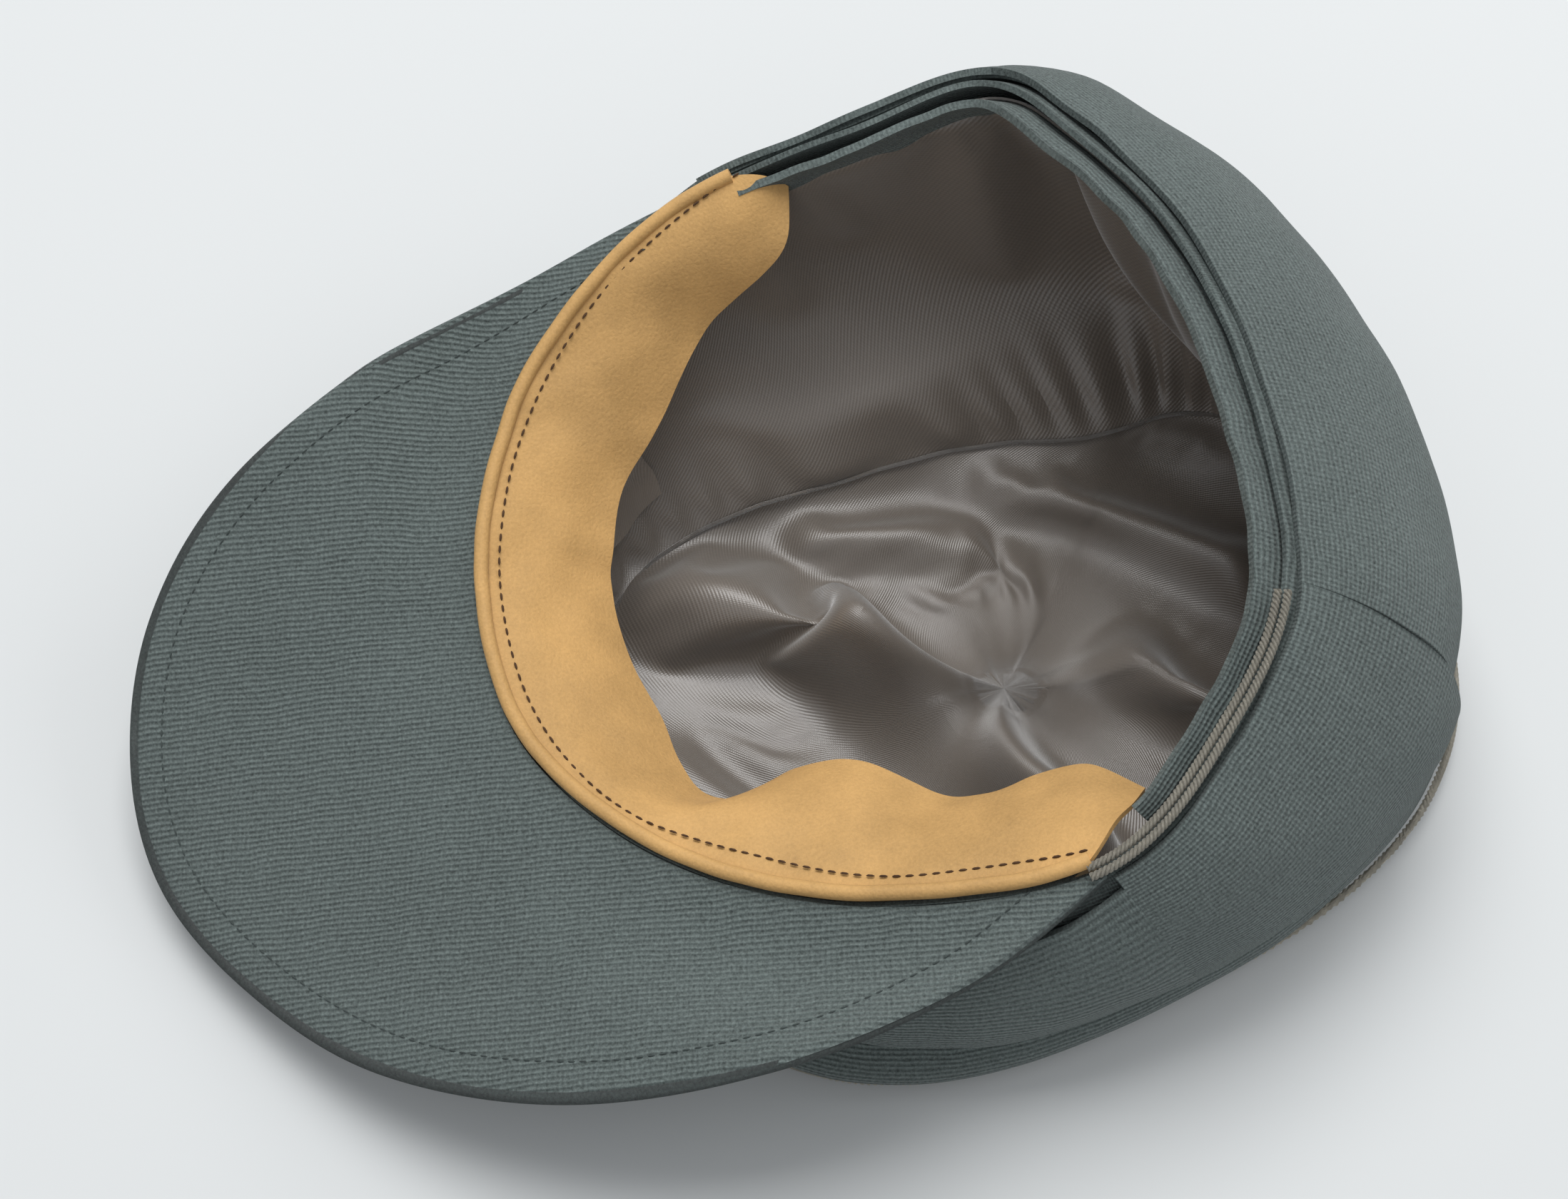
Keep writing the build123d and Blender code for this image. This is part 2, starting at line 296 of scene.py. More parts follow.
def tube(name, points, radius, closed=False, sides=8, strands=1, lay=0.0, spread=0.0):
    """A round cord, or several strands laid round one line, along points in millimetres."""
    p = np.array(points, float)
    n = len(p)
    if closed:
        run = np.roll(p, -1, axis=0) - np.roll(p, 1, axis=0)
    else:
        run = np.gradient(p, axis=0)
    run /= np.linalg.norm(run, axis=1)[:, None]
    up = np.array([0.13, 0.21, 0.97])
    a = np.cross(run, up)
    a /= np.linalg.norm(a, axis=1)[:, None]
    b = np.cross(a, run)
    dist = np.concatenate([[0], np.cumsum(np.linalg.norm(np.diff(p, axis=0), axis=1))])
    verts, faces, uvs = [], [], []
    for strand in range(strands):
        start = len(verts)
        turn = 2 * math.pi * strand / strands + (2 * math.pi * dist / lay if lay else 0 * dist)
        centre = p + spread * (np.cos(turn)[:, None] * a + np.sin(turn)[:, None] * b)
        for i in range(n):
            for k in range(sides):
                q = 2 * math.pi * k / sides
                verts.append((centre[i] + radius * (math.cos(q) * a[i] + math.sin(q) * b[i])) * MM)
        for i in range(n if closed else n - 1):
            j = (i + 1) % n
            here, there = start + i * sides, start + j * sides
            d0 = dist[i] * MM
            d1 = (dist[i] + np.linalg.norm(p[j] - p[i])) * MM
            for k in range(sides):
                m = (k + 1) % sides
                faces.append((here + k, here + m, there + m, there + k))
                v0, v1 = k / sides, (k + 1) / sides
                uvs += [(d0, v0), (d0, v1), (d1, v1), (d1, v0)]
        if not closed:
            faces.append(tuple(start + k for k in range(sides))[::-1])
            uvs += [(0, 0)] * sides
            faces.append(tuple(start + (n - 1) * sides + k for k in range(sides)))
            uvs += [(0, 0)] * sides
    mesh = bpy.data.meshes.new(name)
    mesh.from_pydata([tuple(v) for v in verts], [], faces)
    layer = mesh.uv_layers.new(name="UVMap")
    for k, value in enumerate(uvs):
        layer.data[k].uv = value
    obj = bpy.data.objects.new(name, mesh)
    bpy.context.scene.collection.objects.link(obj)
    outwards(obj)
    smooth(obj)
    return obj


def outwards(obj):
    """Turn all of a closed piece's faces outwards."""
    only(obj)
    bpy.ops.object.mode_set(mode="EDIT")
    bpy.ops.mesh.select_all(action="SELECT")
    bpy.ops.mesh.normals_make_consistent(inside=False)
    bpy.ops.object.mode_set(mode="OBJECT")


def stitches(name, points, pitch, length, radius, lift=0.0):
    """A row of short separate stitches along a line of points in millimetres."""
    p = np.array(points, float)
    run = np.concatenate([[0], np.cumsum(np.linalg.norm(np.diff(p, axis=0), axis=1))])
    verts, faces = [], []
    for k in range(int(run[-1] / pitch)):
        ends = [k * pitch, k * pitch + length]
        a, b = (np.array([np.interp(e, run, p[:, i]) for i in range(3)]) for e in ends)
        d = (b - a) / np.linalg.norm(b - a)
        s = np.cross(d, (0.1, 0.2, 0.97))
        s /= np.linalg.norm(s)
        u = np.cross(s, d)
        start = len(verts)
        for f, w in ((0.0, 0.35), (0.25, 1.0), (0.75, 1.0), (1.0, 0.35)):
            c = a + (b - a) * f + u * (lift + (0.0 if w == 1.0 else -0.15))
            for q in range(6):
                t = math.pi * q / 3
                verts.append((c + radius * w * (math.cos(t) * s + math.sin(t) * u)) * MM)
        for r in range(3):
            low, high = start + r * 6, start + (r + 1) * 6
            for q in range(6):
                m = (q + 1) % 6
                faces.append((low + q, low + m, high + m, high + q))
        faces.append(tuple(start + q for q in range(6))[::-1])
        faces.append(tuple(start + 18 + q for q in range(6)))
    mesh = bpy.data.meshes.new(name)
    mesh.from_pydata([tuple(v) for v in verts], [], faces)
    obj = bpy.data.objects.new(name, mesh)
    bpy.context.scene.collection.objects.link(obj)
    outwards(obj)
    smooth(obj)
    return obj


# ---- finishes ----
GROUP_OUTPUTS = [
    ("Colour", "NodeSocketColor"), ("Height", "NodeSocketFloat"), ("Roughness", "NodeSocketFloat"),
]


def new_group(name, inputs, outputs):
    """A shader node group with named inputs and outputs."""
    group = bpy.data.node_groups.new(name, "ShaderNodeTree")
    for label, kind, value in inputs:
        socket = group.interface.new_socket(name=label, in_out="INPUT", socket_type=kind)
        socket.default_value = value
    for label, kind in outputs:
        group.interface.new_socket(name=label, in_out="OUTPUT", socket_type=kind)
    return group


def link(tree, a, b):
    tree.links.new(a, b)


def math_node(tree, op, a, b=None):
    """A sum of two values, or a function of one; each is a number or a socket."""
    node = tree.nodes.new("ShaderNodeMath")
    node.operation = op
    for k, value in enumerate((a, b)):
        if value is None:
            continue
        if isinstance(value, (int, float)):
            node.inputs[k].default_value = value
        else:
            link(tree, value, node.inputs[k])
    return node.outputs[0]


def noise_node(tree, vector, scale, detail=3.0, rough=0.6):
    node = tree.nodes.new("ShaderNodeTexNoise")
    link(tree, vector, node.inputs["Vector"])
    node.inputs["Scale"].default_value = scale
    node.inputs["Detail"].default_value = detail
    node.inputs["Roughness"].default_value = rough
    return node.outputs["Fac"]


def swing(tree, mask, middle, strength):
    """A mask made to swing about zero, with a given strength."""
    return math_node(tree, "MULTIPLY", math_node(tree, "SUBTRACT", mask, middle), strength)


def scaled(tree, colour, factor):
    """A colour made lighter or darker by a value."""
    node = tree.nodes.new("ShaderNodeVectorMath")
    node.operation = "SCALE"
    link(tree, colour, node.inputs[0])
    link(tree, factor, node.inputs["Scale"])
    return node.outputs[0]


def weave_group():
    """Ribs with painted shade in their grooves, the loops along them and fibre flecks, shared by all the
    cloths, cords and threads.
    """
    t = new_group(
        "Cloth Weave",
        [("Colour", "NodeSocketColor", (0.5, 0.5, 0.5, 1)), ("Rib pitch", "NodeSocketFloat", 0.0012),
         ("Rib turn", "NodeSocketFloat", 0.0), ("Rib groove shade", "NodeSocketFloat", 0.3),
         ("Fleck", "NodeSocketFloat", 0.4), ("Wander", "NodeSocketFloat", 0.3)],
        GROUP_OUTPUTS)
    inp = t.nodes.new("NodeGroupInput")
    out = t.nodes.new("NodeGroupOutput")
    uv = t.nodes.new("ShaderNodeUVMap")
    uv.uv_map = "UVMap"
    obj = t.nodes.new("ShaderNodeTexCoord")
    turn = t.nodes.new("ShaderNodeVectorRotate")
    turn.rotation_type = "Z_AXIS"
    link(t, uv.outputs["UV"], turn.inputs["Vector"])
    link(t, inp.outputs["Rib turn"], turn.inputs["Angle"])
    split = t.nodes.new("ShaderNodeSeparateXYZ")
    link(t, turn.outputs[0], split.inputs[0])
    wander = noise_node(t, obj.outputs["Object"], 55.0, 2.0)
    wave = math_node(t, "DIVIDE", split.outputs["Y"], inp.outputs["Rib pitch"])
    wave = math_node(t, "ADD", wave, math_node(t, "MULTIPLY", wander, inp.outputs["Wander"]))
    rib = math_node(t, "SINE", math_node(t, "MULTIPLY", wave, 2 * math.pi))
    rib = math_node(t, "ADD", math_node(t, "MULTIPLY", rib, 0.5), 0.5)
    loops = math_node(t, "DIVIDE", split.outputs["X"], inp.outputs["Rib pitch"])
    loops = math_node(t, "SINE", math_node(t, "MULTIPLY", loops, 2 * math.pi * 1.1))
    loops = math_node(t, "MULTIPLY", math_node(t, "ADD", loops, 1.0), 0.22)
    fleck = noise_node(t, obj.outputs["Object"], 1500.0, 4.0, 0.75)
    cloud = noise_node(t, obj.outputs["Object"], 38.0, 3.0, 0.55)
    fibre = swing(t, fleck, 0.5, inp.outputs["Fleck"])
    # painted shade: the colour is darker in the grooves between the ribs and lighter on their tops
    groove_shade = swing(t, rib, 0.6, inp.outputs["Rib groove shade"])
    shade = math_node(t, "ADD", math_node(t, "ADD", 1.0, math_node(t, "MULTIPLY", fibre, 3.0)), groove_shade)
    shade = math_node(t, "ADD", shade, swing(t, cloud, 0.5, 0.22))
    link(t, scaled(t, inp.outputs["Colour"], shade), out.inputs["Colour"])
    height = math_node(t, "ADD", rib, math_node(t, "ADD", loops, math_node(t, "MULTIPLY", fleck, 0.8)))
    link(t, height, out.inputs["Height"])
    link(t, math_node(t, "ADD", 0.82, math_node(t, "MULTIPLY", fleck, 0.15)), out.inputs["Roughness"])
    return t


def grain_group():
    """Leather grain with worn patches and stains."""
    t = new_group(
        "Leather Grain",
        [("Colour", "NodeSocketColor", (0.5, 0.5, 0.5, 1)), ("Pores", "NodeSocketFloat", 900.0)],
        GROUP_OUTPUTS)
    inp = t.nodes.new("NodeGroupInput")
    out = t.nodes.new("NodeGroupOutput")
    obj = t.nodes.new("ShaderNodeTexCoord")
    cells = t.nodes.new("ShaderNodeTexVoronoi")
    cells.feature = "DISTANCE_TO_EDGE"
    link(t, obj.outputs["Object"], cells.inputs["Vector"])
    link(t, inp.outputs["Pores"], cells.inputs["Scale"])
    fine = noise_node(t, obj.outputs["Object"], 1400.0, 4.0, 0.7)
    patch = noise_node(t, obj.outputs["Object"], 60.0, 4.0, 0.6)
    stain = noise_node(t, obj.outputs["Object"], 26.0, 2.0, 0.5)
    shade = math_node(t, "ADD", 1.0, swing(t, patch, 0.5, 0.55))
    shade = math_node(t, "ADD", shade, swing(t, stain, 0.5, 0.5))
    shade = math_node(t, "ADD", shade, swing(t, fine, 0.5, 0.5))
    link(t, scaled(t, inp.outputs["Colour"], shade), out.inputs["Colour"])
    height = math_node(t, "ADD", math_node(t, "MULTIPLY", cells.outputs["Distance"], 0.8), fine)
    link(t, height, out.inputs["Height"])
    link(t, math_node(t, "ADD", 0.5, math_node(t, "MULTIPLY", patch, 0.25)), out.inputs["Roughness"])
    return t


def finish_material(name, group_name, colour, values, bump, sheen=0.0, specular=0.3, metallic=0.0):
    """A material whose colour, roughness and bump come from one shared group."""
    found = bpy.data.materials.get(name)
    if found:
        return found
    mat = bpy.data.materials.new(name)
    mat.use_nodes = True
    tree = mat.node_tree
    shader = tree.nodes["Principled BSDF"]
    makers = {"Cloth Weave": weave_group, "Leather Grain": grain_group}
    group = bpy.data.node_groups.get(group_name) or makers[group_name]()
    node = tree.nodes.new("ShaderNodeGroup")
    node.node_tree = group
    node.inputs["Colour"].default_value = (*colour, 1.0)
    for key, value in values.items():
        node.inputs[key].default_value = value
    link(tree, node.outputs["Colour"], shader.inputs["Base Color"])
    link(tree, node.outputs["Roughness"], shader.inputs["Roughness"])
    lift = tree.nodes.new("ShaderNodeBump")
    lift.inputs["Distance"].default_value = bump
    lift.inputs["Strength"].default_value = 1.0
    link(tree, node.outputs["Height"], lift.inputs["Height"])
    link(tree, lift.outputs["Normal"], shader.inputs["Normal"])
    shader.inputs["Sheen Weight"].default_value = sheen
    shader.inputs["Sheen Roughness"].default_value = 0.4
    shader.inputs["Specular IOR Level"].default_value = specular
    shader.inputs["Metallic"].default_value = metallic
    return mat


def cap_cloth(turn=0.0):
    """The ribbed cap cloth, its ribs turned by an angle in radians."""
    label = f"Cap Cloth {round(math.degrees(turn))}"
    values = {"Rib pitch": cap().rib_pitch, "Rib turn": turn, "Rib groove shade": 0.36, "Fleck": 0.75, "Wander": 1.6}
    return finish_material(label, "Cloth Weave", cap().cloth, values, 0.00028, sheen=0.12, specular=0.15)


def satin(pale=1.0):
    """The lining's satin, or a paler one, with one even gloss."""
    colour = tuple(c * pale for c in cap().lining)
    label = "Lining Satin" if pale == 1.0 else "Pale Satin"
    values = {"Rib pitch": 0.0007, "Rib turn": 0.7, "Rib groove shade": 0.16, "Fleck": 0.06, "Wander": 0.2}
    mat = finish_material(label, "Cloth Weave", colour, values, 0.00004, sheen=0.75, specular=1.0)
    shader = mat.node_tree.nodes["Principled BSDF"]
    for wire in list(shader.inputs["Roughness"].links):
        mat.node_tree.links.remove(wire)
    shader.inputs["Roughness"].default_value = 0.37
    return mat


def tan_leather():
    values = {"Pores": 700.0}
    return finish_material("Tan Leather", "Leather Grain", cap().leather, values, 0.00012, sheen=0.05)


def cord_braid(pale=1.0):
    """The braided cord of the opening, or a brighter copy for the crown's piping, its extra brightness
    painted light against the shade it lies in.
    """
    colour = tuple(min(c * pale, 0.9) for c in cap().cord)
    label = "Silver Cord" if pale == 1.0 else "Piping Cord With Painted Light"
    values = {"Rib pitch": 0.0011, "Rib turn": 0.8, "Rib groove shade": 0.5, "Fleck": 0.2, "Wander": 0.1}
    return finish_material(label, "Cloth Weave", colour, values, 0.0002, sheen=0.1, specular=0.5)


def thread(name, colour):
    """A twisted sewing thread."""
    values = {"Rib pitch": 0.0005, "Rib turn": 0.5, "Rib groove shade": 0.3, "Fleck": 0.2, "Wander": 0.1}
    return finish_material(name, "Cloth Weave", colour, values, 0.0001)


def dark_thread():
    return thread("Dark Thread", (0.075, 0.04, 0.02))


def cloth_thread():
    return thread("Grey Thread", (0.05, 0.062, 0.06))


def board_fibre():
    values = {"Pores": 500.0}
    return finish_material("Fibre Board", "Leather Grain", (0.20, 0.15, 0.09), values, 0.0001, specular=0.2)


def painted_metal():
    values = {"Pores": 1600.0}
    return finish_material("Painted Button", "Leather Grain", (0.10, 0.11, 0.095), values, 0.0002,
                           specular=0.5, metallic=0.6)


def dress(obj, mat, body, slot, *nodes):
    """Gives a piece its material and its body and hides the CAD nodes it stands for; the slot is not used."""
    obj.data.materials.clear()
    obj.data.materials.append(mat)
    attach(obj, body)
    if nodes:
        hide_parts(*nodes)
    return obj


def cut_size(obj):
    """The cloth's flat size, from how far its UV map reaches."""
    uv = np.zeros(len(obj.data.loops) * 2)
    obj.data.uv_layers[0].data.foreach_get("uv", uv)
    uv = uv.reshape(-1, 2)
    size = uv.max(axis=0) - uv.min(axis=0)
    return float(max(size[0], 0.011)), float(max(size[1], 0.011))


def declare(obj):
    """Works out how large a piece is cut from its UV map; the size is not kept."""
    cut_size(obj)


# ---- operators, one for each piece or group of like pieces ----
class CAP_OT_wall(bpy.types.Operator):
    """Make the outer wall and crown top, soft and slightly slumped"""
    bl_idname = "cap.wall"
    bl_label = "Wall and crown"

    def execute(self, context):
        shares = np.linspace(0.07, FLAP_TOP, 34)
        seams = [share_at((-4, -90)), share_at((4, 90))]
        sides = {"right": span(seams[0], seams[1]), "left": span(seams[1], seams[0])}
        for side, picks in sides.items():
            grid = ripple(wall_grid(shares, -WALL_SET_IN, picks), 0.5, 22.0, 3.0)
            wall = sheet_object(f"wall_{side}", grid, thick=WALL_CLOTH)
            dress(wall, cap_cloth(), "cap", "cloth", f"side_panel_{side}")
            declare(wall)
        rows = [CROWN * f for f in (0.02, 0.25, 0.5, 0.7, 0.85, 0.93)]
        flat = [np.concatenate([r, np.full((STEPS, 1), 0.8)], axis=1) for r in rows]
        edge = [ring(0.012, -4.5), ring(0.03, -2.4), ring(0.05, -1.2), ring(0.066, -WALL_SET_IN)]
        edge[0][:, 2] = 1.3
        grid = np.array(flat + edge)[:, ::2]
        disc = sheet_object("crown_disc", grid, closed=True, thick=1.5, swap=True)
        bm = bmesh.new()
        bm.from_mesh(disc.data)
        holes = [e for e in bm.edges if e.is_boundary or max(v.co.xy.length for v in e.verts) < 0.0025]
        bmesh.ops.holes_fill(bm, edges=holes, sides=0)
        bm.to_mesh(disc.data)
        bm.free()
        dress(disc, cap_cloth(), "cap", "cloth", "crown_top_panel")
        return {"FINISHED"}


# each fold of the crown lining: its two ends, its half width and its height, or its depth below zero
LINING_FOLDS = [
    (-66, -62, -30, -34, 17, 33), (-20, -84, 14, -66, 11, 12), (-16, -28, 40, -8, 12, 31),
    (-52, 26, 0, 62, 13, 16), (34, -46, 62, -22, 10, 15), (-60, -22, -40, 8, 9, 15),
    (10, 26, 50, 40, 11, 27), (-20, 2, -34, 8, 9, -8),
]


def lining_height(x, y):
    """Broad soft folds of the crown lining, in millimetres above the crown."""
    h = 4.0
    for ax, ay, bx, by, wide, high in LINING_FOLDS:
        a, b = np.array((ax, ay)), np.array((bx, by))
        d = b - a
        t = min(max(((x - ax) * d[0] + (y - ay) * d[1]) / (d @ d), 0), 1)
        q = a + d * t
        r = math.hypot(x - q[0], y - q[1]) / wide
        h += high * math.exp(-r * r)
    h += 1.2 * math.sin(0.07 * x + 0.11 * y)
    return max(h, 3.2)


def near(turn, degrees, wide):
    """One at a bearing round the cap, fading to nothing over a width in degrees."""
    off = np.degrees(np.angle(np.exp(1j * (turn - math.radians(degrees)))))
    return np.exp(-(off / wide) ** 2)


def lining_rows(turn, inset):
    """Rows of the lining from the middle of the crown, over its seam and up to the hem."""
    rows = []
    seam = ring(SEAM_SHARE, -6.5 - inset)
    centre = seam[:, :2].mean(axis=0)
    for f in np.linspace(0.015, 0.97, SEAM_ROW):
        xy = centre + (seam[:, :2] - centre) * f
        z = np.array([lining_height(x, y) for x, y in xy])
        blend = f ** 6
        rows.append(np.concatenate([xy, (z * (1 - blend) + seam[:, 2] * blend)[:, None]], axis=1))
    rows.append(seam)
    sag = 9.0 * near(turn, 178, 16) + 9.0 * near(turn, 98, 14)
    sag = sag + 7.0 * near(turn, 65, 10) - 3.0 * near(turn, 135, 14)
    for k, share in enumerate(np.linspace(0.17, 0.945, 30)):
        swell = math.sin(math.pi * (k + 1) / 31)
        waves = 2.6 + 1.8 * np.sin(3 * turn + 4 * share) + 1.2 * np.sin(7 * turn - 5 * share)
        grow = -LINING_SET_IN - swell * waves
        pucker = math.exp(-((share - 0.17) / 0.10) ** 2)
        grow = grow - pucker * (1.9 + 1.9 * np.sin(46 * turn + 2 * np.sin(9 * turn)))
        grow = grow - inset * max(1 - (share - SEAM_SHARE) / 0.5, 0) ** 1.5
        low = math.exp(-((share - 0.36) / 0.2) ** 2)
        grow = grow - low * sag
        rows.append(ring(share, grow))
    return np.array(rows)


def row_hold(row, rows):
    """How firmly a row of the lining is held while it settles: the hem fully, its seam nearly so."""
    if row >= rows - 2:
        return 1.0
    if row == SEAM_ROW:
        return 0.9
    if SEAM_ROW < row <= SEAM_ROW + 6:
        return 0.4
    return 0.12 if row < SEAM_ROW - 1 else 0.02


def row_slack(row):
    """How much of the slack a row gets: none in the middle of the crown, all from the seam on."""
    return min(max((row - 20) / 10, 0.0), 1.0)


def weigh_rows(sheet, name, count, weights):
    """A vertex group weighted row by row; a row of no weight stays out of it."""
    group = sheet.vertex_groups.new(name=name)
    for row, weight in enumerate(weights):
        if weight:
            group.add([row * count + k for k in range(count)], weight, "REPLACE")


class CAP_OT_lining(bpy.types.Operator):
    """Drape the satin lining in the crown: cut with slack, gathered at its seam, settled as cloth"""
    bl_idname = "cap.lining"
    bl_label = "Lining"

    def execute(self, context):
        turn = 2 * math.pi * np.arange(STEPS) / STEPS
        # the crown seam is drawn in most at the back left
        inset = 24.0 * near(turn, 150, 40)
        grid = lining_rows(turn, inset)[:, ::2]
        sheet = sheet_object("lining", grid, closed=True, swap=True)
        rows, count = grid.shape[:2]
        weigh_rows(sheet, "held", count, [row_hold(row, rows) for row in range(rows)])
        weigh_rows(sheet, "slack", count, [row_slack(row) for row in range(rows)])
        self.settle(sheet)
        self.close_middle(sheet, count)
        weigh_rows(sheet, "calm", count, [1.0 - row / CALM_ROWS for row in range(CALM_ROWS)])
        apply_modifier(sheet, "SMOOTH", factor=0.9, iterations=60, vertex_group="calm")
        apply_modifier(sheet, "SUBSURF", levels=1, render_levels=1)
        thicken(sheet, LINING_CLOTH)
        smooth(sheet)
        dress(sheet, satin(), "cap", "lining", "lining_crown", "lining_side_right", "lining_side_left")
        seam_line = ring(SEAM_SHARE - 0.005, -7.0 - inset) + np.array([0, 0, 1.0])
        welt = tube("lining_seam", ripple(seam_line[::2], 0.6, 12.0, 5.0), 0.55, closed=True, sides=6)
        dress(welt, satin(), "cap", "lining", "lining_crown_seam")
        return {"FINISHED"}

    def close_middle(self, sheet, count):
        """Draw the innermost rows into a shallow cone and close the hole at its tip."""
        verts = sheet.data.vertices
        around = [np.array(v.co) for v in verts[POLE_ROWS * count:(POLE_ROWS + 1) * count]]
        middle = np.mean(around, axis=0)
        for row in range(POLE_ROWS):
            for k in range(count):
                verts[row * count + k].co = middle + (around[k] - middle) * (row + 0.4) / (POLE_ROWS + 0.4)
        bm = bmesh.new()
        bm.from_mesh(sheet.data)
        bmesh.ops.contextual_create(bm, geom=[v for v in bm.verts if v.index < count])
        bm.to_mesh(sheet.data)
        bm.free()

    def settle(self, sheet):
        """Let the slack cloth fall on the crown, held at its hem and its seam."""
        floor = 1.8
        level = np.full((STEPS, 1), floor)
        bowl_rows = [np.concatenate([CROWN * f, level], axis=1) for f in (0.02, 0.4, 0.8)]
        for share in (0.02, 0.07, 0.2, 0.4, 0.6, 0.8, 0.98):
            bowl_rows.append(ring(share, -2.2) + np.array([0, 0, floor if share < 0.05 else 0.0]))
        bowl = sheet_object("bowl_proxy", np.array(bowl_rows)[:, ::6], closed=True, swap=True)
        bowl.modifiers.new("Collision", "COLLISION")
        bowl.collision.thickness_outer = 0.0012
        bowl.collision.use_culling = False
        mod = sheet.modifiers.new("Cloth", "CLOTH")
        s = mod.settings
        s.quality = 6
        s.mass = 0.12
        s.tension_stiffness = 12
        s.compression_stiffness = 12
        s.shear_stiffness = 4
        s.bending_stiffness = 14.0
        s.vertex_group_mass = "held"
        s.vertex_group_shrink = "slack"
        s.shrink_min = 0.0
        s.shrink_max = -cap().lining_slack
        mod.collision_settings.distance_min = 0.0012
        mod.collision_settings.use_self_collision = False
        mod.point_cache.frame_start = 1
        mod.point_cache.frame_end = SETTLE_FRAMES + 4
        for step in range(1, SETTLE_FRAMES + 1):
            bpy.context.scene.frame_set(step)
        only(sheet)
        bpy.ops.object.modifier_apply(modifier=mod.name)
        bpy.context.scene.frame_set(1)
        bpy.data.objects.remove(bowl)
        self.keep_inside(sheet)

    def keep_inside(self, sheet):
        """Bring back any cloth that bulged through the wall or the crown."""
        limits = [ring(share, -3.4) for share in np.linspace(0.0, 1.0, LEVELS + 1)]
        centres = [r[:, :2].mean(axis=0) for r in limits]
        tables = []
        for r, c in zip(limits, centres):
            angle = np.arctan2(r[:, 1] - c[1], r[:, 0] - c[0])
            order = np.argsort(angle)
            tables.append((angle[order], np.hypot(r[:, 0] - c[0], r[:, 1] - c[1])[order]))
        for v in sheet.data.vertices:
            p = np.array(v.co) / MM
            k = int(round(min(max(p[2] / rim_z(p[0], p[1]), 0.0), 1.0) * LEVELS))
            d = p[:2] - centres[k]
            most = np.interp(math.atan2(d[1], d[0]), *tables[k], period=2 * math.pi)
            size = np.linalg.norm(d)
            if size > most:
                p[:2] = centres[k] + d * most / size
            p[2] = max(p[2], 2.9)
            v.co = p * MM


def sweat_grid():
    """Rows of the leather band from its fold at the opening to its wavy free edge."""
    picks = span(share_at((-88, 10)), share_at((90, -8)))
    count = 200
    fold = rounded(ring(1.01, -1.4)[picks], count - 1, False)
    edge = rounded(SWEAT_EDGE, count - 1, False)
    rows = []
    for f in np.linspace(0, 1, 22):
        row = fold + (edge - fold) * f
        row[:, 2] += math.sin(math.pi * f) * 2.5
        rows.append(row)
    return np.array(rows)


class CAP_OT_sweatband(bpy.types.Operator):
    """Make the leather half sweatband, its folded edge, its stitches and the satin strip"""
    bl_idname = "cap.sweatband"
    bl_label = "Sweatband"

    def execute(self, context):
        grid = sweat_grid()
        band = sheet_object("sweatband_leather", ripple(grid, 0.7, 11.0, 9.0), thick=LEATHER)
        dress(band, tan_leather(), "cap", "leather", "sweatband")
        declare(band)
        edge = tube("sweatband_edge", ripple(grid[0], 0.25, 9.0, 2.0) + np.array([0, 0, 0.5]), 1.7, sides=12)
        dress(edge, tan_leather(), "cap", "leather", "sweatband_fold")
        line = grid[3] + np.array([0, 0, 0.95])
        row = stitches("sweatband_stitch_row", line, cap().stitch_pitch / MM, 1.8, 0.27)
        dress(row, dark_thread(), "cap", "thread", "sweatband_stitching")
        picks = span(share_at((-88, -38)), share_at((12, -90)))
        strip = ripple(wall_grid(np.linspace(0.28, 0.68, 12), -8.5, picks), 1.6, 9.0, 4.0)
        pale = sheet_object("satin_under_strip", strip, thick=0.5)
        dress(pale, satin(1.5), "cap", "satin", "satin_strip")
        declare(pale)
        return {"FINISHED"}


def peak_z(x, y):
    """Height of the peak's underside: the opening's plane, curled up at the sides, drooping in front."""
    mx, my = x + 28.0, y + 48.0
    reach = math.hypot(mx / 95.0, min(my - 20.0, 0.0) / 86.0)
    share = min(max((reach - 1.0) / 0.35, 0.0), 1.0)
    rise = 11.0 * (mx / 90.0) ** 2 * share * share * (3 - 2 * share)
    droop = 4.0 * (max(-66.0 - my, 0.0) / 76.0) ** 2
    return rim_z(x, y) + rise - droop


def peak_grid(depth, inset, rows=40, count=220):
    """Rows of the peak from its root at the opening to its free edge."""
    picks = span(share_at((-93, -1)), share_at((92, -6)))
    root = rounded(ring(0.99, 0.2)[picks][:, :2], count - 1, False)
    edge = rounded(PEAK_OUTLINE, count - 1, False)
    run = np.gradient(edge, axis=0)
    run /= np.linalg.norm(run, axis=1)[:, None]
    edge = edge + np.stack([-run[:, 1], run[:, 0]], axis=1) * inset
    out = []
    for f in np.linspace(0, 1, rows):
        xy = root + (edge - root) * f
        z = np.array([peak_z(x, y) for x, y in xy]) - depth
        out.append(np.concatenate([xy, z[:, None]], axis=1))
    return np.array(out)


def flat_uv(obj, turn):
    """UV map in metres laid flat on the piece, so ribs run straight across it."""
    layer = obj.data.uv_layers[0]
    c, s = math.cos(turn), math.sin(turn)
    for loop in obj.data.loops:
        p = obj.data.vertices[loop.vertex_index].co
        layer.data[loop.index].uv = (c * p.x + s * p.y, -s * p.x + c * p.y)


